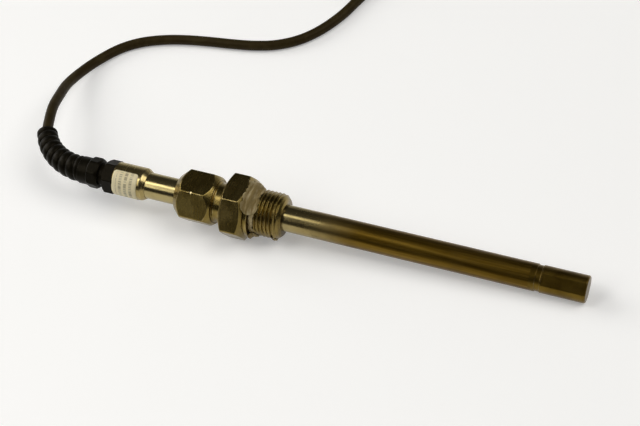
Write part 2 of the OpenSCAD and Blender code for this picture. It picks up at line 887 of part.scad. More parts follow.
function core_bend_point(bend) = [
    free_core_bend_r * sin(bend), free_core_bend_r * (1 - cos(bend)), 0
];

module past_bend(bend) {
    translate(core_bend_point(bend))
        rotate([0, 0, bend])
            children();
}

module end_core(index) {
    front = end_sleeve_len - end_sleeve_lap;
    bend = core_fall(index)[1];
    bent = [for (i = [0 : bend_steps]) core_bend_point(bend * i / bend_steps)];
    end = bent[bend_steps] + free_core_len * [cos(bend), sin(bend), 0];
    color(index % 2 == 0 ? [0.7, 0.1, 0.08] : [0.9, 0.9, 0.88])
        on_free_core(index)
            swept(concat([[-front, 0, 0]], bent, [end]), [1, 0, 0], [cos(bend), sin(bend), 0],
                core_r, core_sides);
}

module end_ferrule(index) {
    color([0.75, 0.75, 0.76])
        on_free_core(index)
            past_bend(core_fall(index)[1])
                difference() {
                    bar(end_ferrule_d / 2, free_core_len - end_ferrule_len, free_core_len);
                    bar(core_r + press_gap, 0, free_core_len + cut);
                }
}

probe_tube();
tip_plug();
rtd_element();
potting_plug();
for (i = [0 : 3]) {
    insulator(i);
    lead(i);
    splice(i);
    core(i);
    end_core(i);
    end_ferrule(i);
}
transition_sleeve();
label();
fitting_body();
fitting_nut();
front_ferrule();
back_ferrule();
thread_seal();
gland_body();
gland_gasket();
gland_seal();
gland_cap();
cable_held();
cable();
cable_coil();
cable_tail();
coil_strap();
end_sleeve();
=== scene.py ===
# %% [markdown]
# # A resistance thermometer probe, dressed in Blender
# The construction is already made and packed: every piece has its real size and place.
# Here each piece gets its fine form and its finish, and the whole is lit and seen by a camera.
# The steps are: the camera, the cable (it decides what has to stay out of view), the fine
# shapes, the materials, and last the floor and the light.

import bpy
import numpy as np
from mathutils import Matrix, Vector


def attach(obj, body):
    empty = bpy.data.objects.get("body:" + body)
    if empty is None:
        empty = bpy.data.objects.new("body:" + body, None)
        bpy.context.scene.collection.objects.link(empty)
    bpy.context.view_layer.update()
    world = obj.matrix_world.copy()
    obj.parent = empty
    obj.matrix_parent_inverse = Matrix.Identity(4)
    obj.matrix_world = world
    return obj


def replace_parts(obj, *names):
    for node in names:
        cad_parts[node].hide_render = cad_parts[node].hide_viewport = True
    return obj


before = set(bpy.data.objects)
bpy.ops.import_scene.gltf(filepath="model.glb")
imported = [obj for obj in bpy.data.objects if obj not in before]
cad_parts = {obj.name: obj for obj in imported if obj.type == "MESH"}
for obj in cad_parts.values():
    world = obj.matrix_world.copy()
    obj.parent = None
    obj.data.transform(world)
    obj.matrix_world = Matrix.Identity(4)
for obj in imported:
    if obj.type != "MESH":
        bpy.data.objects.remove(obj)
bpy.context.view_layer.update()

# %% [markdown]
# ## The probe's own axis
# The probe was drawn along one straight axis and then laid on the floor, a little tip-down.
# A point on it is easier to say in the probe's own measures: u along the axis towards the tip
# with 0 at the sealing face, v to the side and w upwards. One turn and one shift take such a
# point to the floor's frame. All sizes are in millimetres until that last step.

# %% The probe's axis
TILT = np.radians(2.8233)
AXIS = np.array([np.cos(TILT), 0.0, -np.sin(TILT)])
SIDE = np.array([0.0, 1.0, 0.0])
RISE = np.array([np.sin(TILT), 0.0, np.cos(TILT)])
ZERO = np.array([-16.695, -1.290, 13.342])


def laid(u, v, w):
    """Points on the floor's frame in metres: (ZERO + u AXIS + v SIDE + w RISE) / 1000."""
    u, v, w = np.broadcast_arrays(u, v, w)
    return (ZERO + u[..., None] * AXIS + v[..., None] * SIDE + w[..., None] * RISE) / 1000


print("the tip's end is at", np.round(laid(150.0, 0.0, 0.0), 4).tolist())

# %% [markdown]
# ## The camera
# The probe is seen from above and from its tip's side with a long lens, as on a desk, and the
# camera is rolled a little. A camera's matrix holds its right, up and backward directions and
# its place, so these four vectors are worked out and put in as columns.

# %% Camera
AIM = np.array([0.0059, 0.0147, 0.0])
DISTANCE, AZIMUTH, ELEVATION, ROLL = 0.7205, *np.radians([29.457, 48.801, -11.549])

back = np.array([
    np.sin(AZIMUTH) * np.cos(ELEVATION),
    -np.cos(AZIMUTH) * np.cos(ELEVATION),
    np.sin(ELEVATION),
])
level_right = np.array([np.cos(AZIMUTH), np.sin(AZIMUTH), 0.0])
level_up = np.cross(back, level_right)
right = level_right * np.cos(ROLL) + level_up * np.sin(ROLL)
up = level_up * np.cos(ROLL) - level_right * np.sin(ROLL)

camera = bpy.data.objects.new("camera", bpy.data.cameras.new("camera"))
bpy.context.scene.collection.objects.link(camera)
camera.data.sensor_fit, camera.data.sensor_width, camera.data.lens = "HORIZONTAL", 36, 90
camera.data.clip_start, camera.data.clip_end = 0.05, 20
camera.matrix_world = Matrix.Translation(AIM + back * DISTANCE) @ Matrix(
    np.column_stack([right, up, back]).tolist()
).to_4x4()
bpy.context.scene.camera = camera
print("camera at", np.round(AIM + back * DISTANCE, 3).tolist())

# %% [markdown]
# ## Surfaces on a grid
# Nearly every new piece is a grid of points: rows along one parameter, columns along another.
# Quads join neighbouring points. Where the rows or the columns run round and meet themselves,
# the grid is closed in that direction. Where the rows stay open, each of their two ends can get
# one flat face of its own.


# %% Grid to mesh
def grid_faces(rows, columns, rows_close, columns_close):
    """Quads (i, j), (i, j+1), (i+1, j+1), (i+1, j); indices go round where a side closes."""
    i = np.arange(rows if rows_close else rows - 1)[:, None]
    j = np.arange(columns if columns_close else columns - 1)[None, :]
    down, along = (i + 1) % rows, (j + 1) % columns
    corners = [i * columns + j, i * columns + along, down * columns + along, down * columns + j]
    return np.stack(np.broadcast_arrays(*corners), -1).reshape(-1, 4)


def grid_piece(name, points, rows_close=True, columns_close=True, values=None, ends=()):
    """An object from points of shape (rows, columns, 3) in metres, with optional point values.

    ends names the rows that get a flat many-sided face of their own, 0 or -1.
    """
    rows, columns = points.shape[:2]
    faces = grid_faces(rows, columns, rows_close, columns_close).tolist()
    if 0 in ends:
        faces.append(list(range(columns))[::-1])
    if -1 in ends:
        faces.append(list(range((rows - 1) * columns, rows * columns)))
    mesh = bpy.data.meshes.new(name)
    mesh.from_pydata(points.reshape(-1, 3).tolist(), [], faces)
    for key, value in (values or {}).items():
        layer = mesh.attributes.new(key, "FLOAT", "POINT")
        layer.data.foreach_set("value", np.broadcast_to(value, (rows, columns)).ravel())
    mesh.polygons.foreach_set("use_smooth", np.ones(len(mesh.polygons), bool))
    piece = bpy.data.objects.new(name, mesh)
    bpy.context.scene.collection.objects.link(piece)
    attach(piece, "root")
    print(f"{name}: {len(mesh.vertices)} points, {len(faces)} faces")
    return piece


# %% [markdown]
# ## The cable's route
# A cable has one real length. It leaves the bend spiral, comes down to the floor in a few
# centimetres and lies there in an S. What is left of its two metres is wound into a flat coil
# of two layers with its turns one diameter apart, and the stripped end sticks out of the coil.
# The route is a smooth curve through points a centimetre or so apart, then the coil's two
# spirals and its end.

# %% The cable's route
CABLE_R = 2.5
BEND_R, BEND_END, CAP_REAR = 30.0, np.radians(62), -86.1
EXIT = laid(CAP_REAR - BEND_R * np.sin(BEND_END), BEND_R * (1 - np.cos(BEND_END)), 0.0)
EXIT_WAY = -np.cos(BEND_END) * AXIS + np.sin(BEND_END) * SIDE
ON_FLOOR = np.array([
    [-133, 24, 18.2], [-136, 33, 16.8], [-138.5, 43, 13.8], [-141, 54, 9.8], [-141, 66, 5.8],
    [-138, 78, 3.2], [-131, 89, 2.5], [-122, 96, 2.5], [-111, 100.5, 2.5], [-100, 103, 2.5],
    [-88, 104.5, 2.5], [-76, 105.5, 2.5], [-64, 107, 2.5], [-53, 110, 2.5], [-43, 116, 2.5],
    [-35, 125, 2.5], [-28.5, 137, 2.5], [-24, 150, 2.6], [-18, 167.3, 3],
]) / 1000
COIL_CENTRE, COIL_OUT, COIL_IN = np.array([-0.053, 0.198]), 0.0415, 0.019
LOW, HIGH, HEADING = 0.0031, 0.0081, np.radians(75.5)
FORWARD = np.array([np.cos(HEADING), np.sin(HEADING), 0.0])
TOUCH = np.append(COIL_CENTRE + COIL_OUT * np.array([np.sin(HEADING), -np.cos(HEADING)]), 0.0)


def through(points, first, last, steps):
    """A smooth curve through points: on each span the cubic with the neighbours' mean slope."""
    slopes = np.gradient(points, axis=0)
    slopes[0], slopes[-1] = (
        way * np.linalg.norm(step)
        for way, step in ((first, points[1] - points[0]), (last, points[-1] - points[-2]))
    )
    t = np.linspace(0, 1, steps, endpoint=False)[:, None, None]
    a, b, p, q = points[:-1], points[1:], slopes[:-1], slopes[1:]
    curve = (
        (2 * t**3 - 3 * t**2 + 1) * a + (3 * t**2 - 2 * t**3) * b
        + (t**3 - 2 * t**2 + t) * p + (t**3 - t**2) * q
    )
    return np.vstack([curve.transpose(1, 0, 2).reshape(-1, 3), points[-1:]])


def wound(start, turns, from_r, to_r, from_z, to_z, steps):
    """A spiral about the coil's centre: angle, radius and height all run evenly with the turns."""
    share = np.linspace(0, 1, steps)
    angle = start + 2 * np.pi * turns * share
    radius = from_r + (to_r - from_r) * share
    flat = COIL_CENTRE + radius[:, None] * np.stack([np.cos(angle), np.sin(angle)], -1)
    return np.column_stack([flat, from_z + (to_z - from_z) * share])


TURNS_IN, TURNS_UP, TURNS_OUT = 4.5, 0.25, 4.25
FIRST = HEADING - np.pi / 2
INNER = FIRST + 2 * np.pi * TURNS_IN
tail = [[12, 8.1], [21, 6.3], [26, 5], [31, 3.7], [38, 3], [47, 2.95], [55, 2.95]]
route = np.vstack([
    through(np.vstack([EXIT, ON_FLOOR]), EXIT_WAY, FORWARD, 6),
    wound(FIRST, TURNS_IN, COIL_OUT, COIL_IN, LOW, LOW, 220),
    wound(INNER, TURNS_UP, COIL_IN, COIL_IN, LOW, HIGH, 12)[1:],
    wound(INNER + 2 * np.pi * TURNS_UP, TURNS_OUT, COIL_IN, COIL_OUT, HIGH, HIGH, 210)[1:],
    through(
        np.array([TOUCH + FORWARD * t / 1000 + [0, 0, z / 1000] for t, z in tail]),
        FORWARD, FORWARD, 3,
    ),
])
cable_length = np.linalg.norm(np.diff(route, axis=0), axis=1).sum()
print(f"the route is {cable_length:.3f} m long, with {len(route)} points")

# %% [markdown]
# ## The cable's tube
# A round jacket is a circle carried along the route. Each ring stands square to the route's
# direction there: one axis of the ring is the direction crossed with straight up, which never
# fails here because the cable nowhere runs straight up.


# %% Tube along a path
def tube(name, path, radius, sides, values=None):
    """Rings: path point + radius * (cos a * across + sin a * above), a running round the ring."""
    ways = np.gradient(path, axis=0)
    ways /= np.linalg.norm(ways, axis=1, keepdims=True)
    across = np.cross(ways, [0, 0, 1])
    across /= np.linalg.norm(across, axis=1, keepdims=True)
    above = np.cross(across, ways)
    angle = np.linspace(0, 2 * np.pi, sides, endpoint=False)[None, :, None]
    rings = path[:, None] + radius * (
        np.cos(angle) * across[:, None] + np.sin(angle) * above[:, None]
    )
    return grid_piece(name, rings, rows_close=False, values=values, ends=(0, -1))


jacket = tube("cable_jacket", route, CABLE_R / 1000, 20)
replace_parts(jacket, "cable", "cable_coil", "cable_tail")

# %% [markdown]
# ## Turned pieces
# A turned piece is a profile carried round the axis. A hexagon or a spanner flat is the same
# thing with one change: the radius is cut down to the flat at some angles, and where the flat
# meets a turned cone the profile's corner moves along the axis with the angle. So each corner
# of the profile is a radius and a station that may both change with the angle. Real edges are
# never knife-sharp, so each corner of the profile is replaced by a short curve.


# %% Turned surfaces
def angles(columns, start):
    """Evenly spaced angles round the axis from a start in degrees, in radians."""
    return np.radians(start) + np.linspace(0, 2 * np.pi, columns, endpoint=False)


def flats_radius(turn, across, sides, first_flat):
    """Distance from the axis to the nearest flat: half the width / cos of the angle off it."""
    step = 2 * np.pi / sides
    off = (turn - np.radians(first_flat) + step / 2) % step - step / 2
    return across / 2 / np.cos(off)


CORNER_POINTS, NEAR_CORNER = 6, 0.04


def eased(corners, sizes):
    """Each corner of a closed profile becomes a curve (1-t)^2 A + 2t(1-t) V + t^2 B.

    A and B lie on the two neighbouring sides, at most 45% along them, and one more point on
    each side keeps the face beyond flat: CORNER_POINTS in all. Returns the new profile and a
    value that is 1 on the curves and 0 on the faces between.
    """
    before, after = np.roll(corners, 1, 0), np.roll(corners, -1, 0)
    out, edge = [], []
    for here, a, b, size in zip(corners, before, after, sizes):
        to_a, to_b = a - here, b - here
        la, lb = (np.maximum(np.linalg.norm(s, axis=-1, keepdims=True), 1e-9) for s in (to_a, to_b))
        pa = here + to_a / la * np.minimum(size, 0.45 * la)
        pb = here + to_b / lb * np.minimum(size, 0.45 * lb)
        wa = here + to_a / la * np.minimum(size * 1.5, 0.48 * la)
        wb = here + to_b / lb * np.minimum(size * 1.5, 0.48 * lb)
        curve = [(1 - t) ** 2 * pa + 2 * t * (1 - t) * here + t * t * pb for t in (0, 0.3, 0.7, 1)]
        out += [wa, *curve, wb]
        edge += [0, 1, 1, 1, 1, 0]
    return np.array(out), np.array(edge, float)


def worn(profile, edge, corner):
    """The edge value over a whole hexagon: 1 on the eased corners and along its corner lines.

    A point belongs to a corner line when its radius is within NEAR_CORNER of the corner's.
    """
    return np.maximum(edge[:, None], profile[..., 0] > corner - NEAR_CORNER)


def bent(u):
    """Centre (u, v) and sideways direction of the axis: straight, then an arc behind CAP_REAR."""
    angle = np.maximum(0, (CAP_REAR - u) / BEND_R)
    straight = np.maximum(u, CAP_REAR)
    centre = straight - BEND_R * np.sin(angle), BEND_R * (1 - np.cos(angle))
    return centre, (np.sin(angle), np.cos(angle))


def round_the_axis(name, profile, turn, values=None, **grid):
    """Points centre(u) + r cos(turn) * sideways + r sin(turn) * up, for a profile of (r, u)."""
    r, u = profile[..., 0], profile[..., 1]
    (cu, cv), (nu, nv) = bent(u)
    flat, high = r * np.cos(turn), r * np.sin(turn)
    return grid_piece(name, laid(cu + flat * nu, cv + flat * nv, high), values=values, **grid)


def profile_rows(corners, turn):
    """The corners (r, u), numbers or arrays over the angle, as one array (corners, angles, 2)."""
    return np.array([
        np.stack(np.broadcast_arrays(r, u, turn)[:2], -1) for r, u in corners
    ], float)


def smooth_shading(piece):
    """Shading normals that follow the larger faces, so that flats stay flat beside eased edges."""
    modifier = piece.modifiers.new("shading", "WEIGHTED_NORMAL")
    modifier.weight, modifier.mode, modifier.keep_sharp = 60, "FACE_AREA", True
    return piece


# %% [markdown]
# ## The fitting's nut
# The nut is a hexagon cut from bar. Both ends are turned to a cone, so each flat ends in an
# arch. The arch comes by itself here: where the cone reaches the flat's radius, the profile
# turns from cone to flat, and that station is worked out for every angle.

# %% Nut
BODY_CORNER, NUT_CORNER, CAP_CORNER = -60, -58, -92
BODY_FLATS, NUT_FLATS, CAP_FLATS, LAND = 27, 22, 13.4, 0.12


def cone_station(radius, r_end, u_end, r_far, u_far):
    """Where a cone from (r_end, u_end) to (r_far, u_far) has that radius."""
    return u_end + (radius - r_end) / (r_far - r_end) * (u_far - u_end)


def corner_radius(across, sides):
    """Half the width over flats, over the cosine of half a side's angle, less a small land."""
    return across / 2 / np.cos(np.pi / sides) - LAND


def flats_between_cones(across, sides, corner_at, turn, rear, front):
    """The flat's radius at each angle, and its stations at the rear and the front cone.

    rear and front are each a cone's radius and station at its end, and its length inwards.
    """
    corner = corner_radius(across, sides)
    radius = np.minimum(flats_radius(turn, across, sides, corner_at + 180 / sides), corner)
    return radius, *(
        cone_station(radius, r_end, u_end, corner, u_end + length)
        for r_end, u_end, length in (rear, front)
    )


turn = angles(288, NUT_CORNER)
radius, rear_arch, front_arch = flats_between_cones(
    NUT_FLATS, 6, NUT_CORNER, turn, (8.5, -36.7, 4.4), (10.2, -18.0, -3.2)
)
nut_profile, nut_edge = eased(
    profile_rows([
        (6.06, -36.7), (8.5, -36.7), (radius, rear_arch), (radius, front_arch), (10.2, -18.0),
        (9.53, -18.0), (9.53, -29.0), (8.25, -29.0), (8.25, -32.5), (6.06, -32.5),
    ], turn),
    [0.1, 0.35, 0.3, 0.25, 0.3, 0.15, 0.1, 0.1, 0.1, 0.1],
)
nut_edge = worn(nut_profile, nut_edge, corner_radius(NUT_FLATS, 6))
nut = smooth_shading(round_the_axis("nut_turned", nut_profile, turn, {"edge": nut_edge}))
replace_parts(nut, "fitting_nut")

# %% [markdown]
# ## The fitting's body and its thread
# The body carries a hexagon, a sealing collar and a parallel pipe thread with 14 turns to the
# inch. A thread is a wave along the axis whose place moves on by one pitch in each turn, so the
# radius there is a function of the station and the angle together. The ends run out in the
# undercut and in the chamfer, which both simply limit the radius.

# %% Fitting body
PITCH, DEPTH, CREST, UNDERCUT = 1.814, 1.16, 10.4, 9.2
THREAD_START, THREAD_CHAMFER, THREAD_END, THREAD_ROWS = 2.0, 12.2, 14.0, 84
turn = angles(288, BODY_CORNER)
radius, rear_arch, front_arch = flats_between_cones(
    BODY_FLATS, 6, BODY_CORNER, turn, (12.8, -13.0, 1.6), (11.6, -1.8, -2.2)
)


def thread_radius(u, turn):
    """CREST - DEPTH * wave(u / PITCH - turn / full turn), the wave half a V and half a sine.

    The undercut's cone and the chamfer at the end limit it.
    """
    place = (u / PITCH - turn / (2 * np.pi)) % 1
    wave = 0.5 * (1 - np.abs(2 * place - 1)) + 0.5 * np.sin(np.pi * place) ** 2
    chamfer = CREST - np.maximum(0, u - THREAD_CHAMFER)
    start = UNDERCUT + np.maximum(0, u - THREAD_START) * 1.28
    return np.minimum(np.minimum(CREST - DEPTH * wave, chamfer), start)


back_part, back_edge = eased(
    profile_rows([
        (6.05, THREAD_END), (6.05, -25.7), (7.7, -28.7), (8.7, -28.7), (9.5, -27.9), (9.5, -18.0),
        (8.8, -17.3), (8.8, -13.0), (12.8, -13.0), (radius, rear_arch), (radius, front_arch),
        (11.6, -1.8), (11.7, -1.8), (12.0, -1.5), (12.0, -0.3), (11.7, 0.0), (UNDERCUT, 0.0),
        (UNDERCUT, THREAD_START),
    ], turn),
    [0.1, 0.1, 0.2, 0.2, 0.2, 0.1, 0.2, 0.2, 0.3, 0.3, 0.3, 0.05, 0.05, 0.12, 0.12, 0.1, 0.2, 0.1],
)
stations = np.linspace(THREAD_START + 0.1, THREAD_END, THREAD_ROWS)[:, None] + 0 * turn
thread = np.stack([thread_radius(stations, turn), stations], -1)
body_profile, body_edge = (
    np.concatenate([back[CORNER_POINTS:], middle, back[:CORNER_POINTS]])
    for back, middle in ((back_part, thread), (back_edge, np.zeros(THREAD_ROWS)))
)
body_edge = worn(body_profile, body_edge, corner_radius(BODY_FLATS, 6))
body = smooth_shading(round_the_axis("body_turned", body_profile, turn, {"edge": body_edge}))
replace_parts(body, "fitting_body")

# %% [markdown]
# ## The tip
# A solid round piece with a shallow ring groove. Two flats for a spanner are milled from just
# in front of the groove to the end. At each angle the radius is the smaller of the round's and
# the flat's, and the milling starts with a small step. The profile starts at the bottom of the
# bore, and its points near the axis are left out: one flat face closes the bore's bottom there
# and another closes the end.

# %% Tip
TIP_FLATS, TIP_FLAT_AT = 10.8, 129
turn = angles(240, TIP_FLAT_AT)
milled = np.minimum(flats_radius(turn, TIP_FLATS, 2, TIP_FLAT_AT), 6.0)
tip_profile, tip_edge = eased(
    profile_rows([
        (2.4, 120.6), (4.97, 120.6), (4.97, 125.6), (6.0, 125.6), (6.0, 128.0), (5.65, 128.1),
        (5.65, 130.2), (6.0, 130.3), (6.0, 130.8), (milled, 130.8), (milled, 149.6),
        (milled - 0.4, 150.0), (0.5, 150.0), (0.5, 145.0), (2.4, 145.0),
    ], turn),
    [0.05, 0.05, 0.05, 0.001, 0.1, 0.08, 0.08, 0.1, 0.08, 0.1, 0.15, 0.15, 0.02, 0.02, 0.05],
)
BORE_BOTTOM, NEAR_AXIS = 13 * CORNER_POINTS + 4, 8
tip_profile, tip_edge = (
    np.roll(part, -BORE_BOTTOM, 0)[:-NEAR_AXIS] for part in (tip_profile, tip_edge)
)
tip = smooth_shading(round_the_axis(
    "tip_turned", tip_profile, turn, {"edge": tip_edge[:, None]}, rows_close=False, ends=(0, -1),
))
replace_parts(tip, "tip_plug")

# %% [markdown]
# ## The transition sleeve
# A plain turned sleeve with a conical shoulder towards the tube.

# %% Sleeve
turn = angles(192, 0)
sleeve_profile, sleeve_edge = eased(
    profile_rows([
        (7.11, -67.9), (7.5, -67.9), (7.5, -54.2), (6.2, -52.2), (6.05, -52.2), (6.05, -59.7),
        (5.0, -59.7), (5.0, -60.9), (6.03, -60.9), (6.03, -66.84), (7.11, -66.84),
    ], turn),
    [0.05, 0.12, 0.5, 0.12, 0.03, 0.1, 0.1, 0.1, 0.1, 0.1, 0.1],
)
sleeve = smooth_shading(
    round_the_axis("sleeve_turned", sleeve_profile, turn, {"edge": sleeve_edge[:, None]})
)
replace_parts(sleeve, "transition_sleeve")

# %% [markdown]
# ## The gland's cap and its bend spiral
# The cap has eight flats in front and a round rear, and the spiral that keeps the cable from
# kinking is moulded in one with it. The spiral is a tapered wall with one rounded rib wound
# round it: the rib's height depends on the distance along the bend and on the angle together.
# Behind the cap the axis itself is bent, so the same profile is carried round a bent axis.

# %% Gland cap and spiral
RIB_PITCH, RIB, SPIRAL_LEN = 3.9, 0.95, BEND_R * BEND_END
RIB_TOP, TAPER, SPIRAL_BORE, LIP = 6.2, 1.4, 2.8, 0.3
turn = angles(160, CAP_CORNER)
radius, round_end, front_arch = flats_between_cones(
    CAP_FLATS, 8, CAP_CORNER, turn, (6.3, -81.7, 0.8), (6.2, -76.1, -1.2)
)


def spiral_radius(distance, turn):
    """A tapering crest less a dip of RIB * (1 - sqrt(sin)), once in each pitch of the helix."""
    place = (distance / RIB_PITCH + turn / (2 * np.pi)) % 1
    crest = RIB_TOP - TAPER * distance / SPIRAL_LEN
    dip = RIB * (1 - np.sqrt(np.sin(np.pi * place)))
    neck = np.clip(1.5 - distance, 0, 1)
    plain = np.clip((distance - SPIRAL_LEN + 1.8) / 0.5, 0, 1)
    return crest - np.maximum(dip * (1 - plain), 0.45 * neck)


distance = np.linspace(SPIRAL_LEN - LIP, 0.05, 160)[:, None] + 0 * turn
ribs = np.stack([spiral_radius(distance, turn), CAP_REAR - distance], -1)
cap_front, _ = eased(
    profile_rows([
        (6.2, -86.1), (6.3, -86.0), (6.3, -81.7), (radius, round_end), (radius, front_arch),
        (6.2, -76.1), (5.25, -76.1), (5.25, -81.1), (4.45, -83.1), (2.65, -84.3),
    ], turn),
    [0.1, 0.15, 0.1, 0.2, 0.25, 0.2, 0.1, 0.1, 0.1, 0.1],
)
along_bore = np.linspace(0, SPIRAL_LEN - LIP, 40)[:, None] + 0 * turn
bore = np.stack([np.full(along_bore.shape, SPIRAL_BORE), CAP_REAR - along_bore], -1)
SPIRAL_END = CAP_REAR - SPIRAL_LEN
lip = profile_rows(
    [(r, SPIRAL_END) for r in (2.95, 3.4, 4.1, 4.6)] + [(4.76, SPIRAL_END + 0.15)], turn
)
cap = round_the_axis("cap_moulded", np.concatenate([ribs, cap_front, bore, lip]), turn)
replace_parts(smooth_shading(cap), "gland_cap")

# %% [markdown]
# ## The label
# A thin film with rounded corners, wrapped round the sleeve. Its half width along the axis
# shrinks near the two ends as the corner's circle asks. A skin has an outer and an inner face
# over the same angles, and a narrow flat face closes it at either end.


# %% Label
def skin(name, outer, inner, turn):
    """A closed skin: each section runs over the outer points (r, u), back under the inner ones."""
    around = np.concatenate([outer, inner[::-1]]).transpose(1, 0, 2)[:, ::-1]
    return round_the_axis(name, around, turn[:, None], rows_close=False, ends=(0, -1))


LABEL_MIDDLE, LABEL_HALF, LABEL_CORNER = -61.6, 6.0, 1.3
LABEL_R, ARC_R, FILM, FILM_RIM = 7.535, 7.53, 0.11, 0.066
WRAP_AT, WRAP_HALF = np.radians(-146), np.radians(115)
wrap = np.linspace(-1, 1, 150)
half_arc = ARC_R * WRAP_HALF
into = np.maximum(0, np.abs(wrap) * half_arc - (half_arc - LABEL_CORNER))
half_width = LABEL_HALF - (LABEL_CORNER - np.sqrt(np.maximum(LABEL_CORNER**2 - into**2, 0)))
share = np.linspace(-1, 1, 14)[:, None]
film = np.where(np.abs(share) < 1, FILM, FILM_RIM)
outer, inner = (
    np.stack(np.broadcast_arrays(LABEL_R + high, LABEL_MIDDLE + share * half_width), -1)
    for high in (film, 0 * film)
)
label = skin("label_film", outer, inner, WRAP_AT + wrap * WRAP_HALF)
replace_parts(label, "label")

# %% [markdown]
# ## What is left of the sealing tape
# Old tape sits as a ragged ring in the undercut and over the first turn of the thread, and
# torn rags of it cling to the collar and the thread. The ring has a bumpy section, and a rag is
# a thin skin laid over the outline below it with a torn border. Sums of sines make both uneven
# without anything random.

# %% Tape
RING_R, RING_HALF_HIGH, RING_REAR = 9.75, 0.62, 0.05
OUTLINE_U = [-3.6, -1.8, -0.2, 1.4, 5.0, 12.2, 14.0]
OUTLINE_R = [14.8, 12.08, 12.1, 10.55, 10.42, 10.42, 8.7]
turn = angles(360, 0)
round_section = np.linspace(0, 2 * np.pi, 26, endpoint=False)[:, None]


def ragged(a, b):
    """A sum of five sines of the two angles, between about -1 and 1."""
    return (
        np.sin(3 * a + 1.3) + np.sin(7 * a - 2 * b + 0.4) + np.sin(13 * a + b)
        + 0.8 * np.sin(23 * a - 3 * b + 2) + 0.7 * np.sin(41 * a + 2 * b + 0.7)
    ) / 3.2


bump = ragged(turn, round_section)
front = 2.3 + 1.1 * np.clip(ragged(0.6 * turn + 1.0, 0 * round_section), -0.6, 1)
tape_r = RING_R + np.cos(round_section) * (RING_HALF_HIGH + 0.3 * bump)
tape_u = RING_REAR + front / 2 + np.sin(round_section) * front / 2 * (1 - 0.15 * np.abs(bump))
tape = round_the_axis("tape_ring", np.stack([tape_r, np.maximum(tape_u, 0.04)], -1), turn)
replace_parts(tape, "thread_seal")


def rag(name, middle, half_length, first, last, lift):
    """A skin over the fitting: its outline's radius plus lift and creases, between two angles.

    Its half length along the axis is that of a rounded end, torn by a sum of sines.
    """
    across = np.linspace(-1, 1, 110)
    turn = np.radians((first + last) / 2) + across * np.radians((last - first) / 2)
    torn = half_length * np.sqrt(1 - 0.98 * across**4) * (1 + 0.2 * ragged(0.9 * turn, 0 * turn))
    share = np.linspace(-1, 1, 44)[:, None]
    u = middle + share * torn + 0.3 * ragged(turn * 0.8 + 2, 0 * turn) * (1 + share) / 2
    flat = np.minimum(
        flats_radius(turn, BODY_FLATS, 6, BODY_CORNER + 30), corner_radius(BODY_FLATS, 6)
    )
    below = np.minimum(np.interp(u, OUTLINE_U, OUTLINE_R), flat + 0.05)
    crease = 0.1 * ragged(turn * 0.9 + share, u * 0.7) + 0.13 * np.sin(u * 4.3 + 4 * turn + share)
    rim = np.minimum(1, 5 * (1 - np.abs(share))) * np.minimum(1, 6 * (1 - np.abs(across)))
    high = below + (lift + np.maximum(crease, -0.15)) * rim
    piece = skin(name, *(np.stack([r, u], -1) for r in (high, below - 0.04)), turn)
    return piece


rags = [
    rag("tape_rag_top", 0.4, 3.5, 36, 140, 0.3), rag("tape_rag_low", 1.6, 2.2, 196, 236, 0.7),
    rag("tape_rag_end", 11.6, 1.2, 206, 228, 0.45),
]

# %% [markdown]
# ## Writing a material as sums
# A finish is a colour and a roughness that change over the surface. Blender builds them from
# nodes. Here an output of a node is wrapped in a small class, so that a * b + 0.2 adds the
# Math nodes by itself and a finish reads like a formula. A Mix node has sockets for several
# kinds of value, and the numbers below are those of its colours.


# %% Node arithmetic
MIX_A, MIX_B, MIX_RESULT = 6, 7, 2


class Signal:
    """One output of a node. Ordinary arithmetic on it adds Math nodes."""

    def __init__(self, finish, socket):
        self.finish, self.socket = finish, socket

    def math(self, operation, *others):
        """A Math node whose first input is this signal."""
        inputs = dict(enumerate((self, *others)))
        return self.finish.node("ShaderNodeMath", {"operation": operation}, inputs)

    def __add__(self, other):
        return self.math("ADD", other)

    def __sub__(self, other):
        return self.math("SUBTRACT", other)

    def __mul__(self, other):
        return self.math("MULTIPLY", other)

    __radd__, __rmul__ = __add__, __mul__

    def between(self, low, high, to_low=0.0, to_high=1.0):
        """A soft step: to_low below low, to_high above high."""
        return self.finish.node(
            "ShaderNodeMapRange", {"interpolation_type": "SMOOTHSTEP"},
            {"Value": self, "From Min": low, "From Max": high, "To Min": to_low, "To Max": to_high},
        )


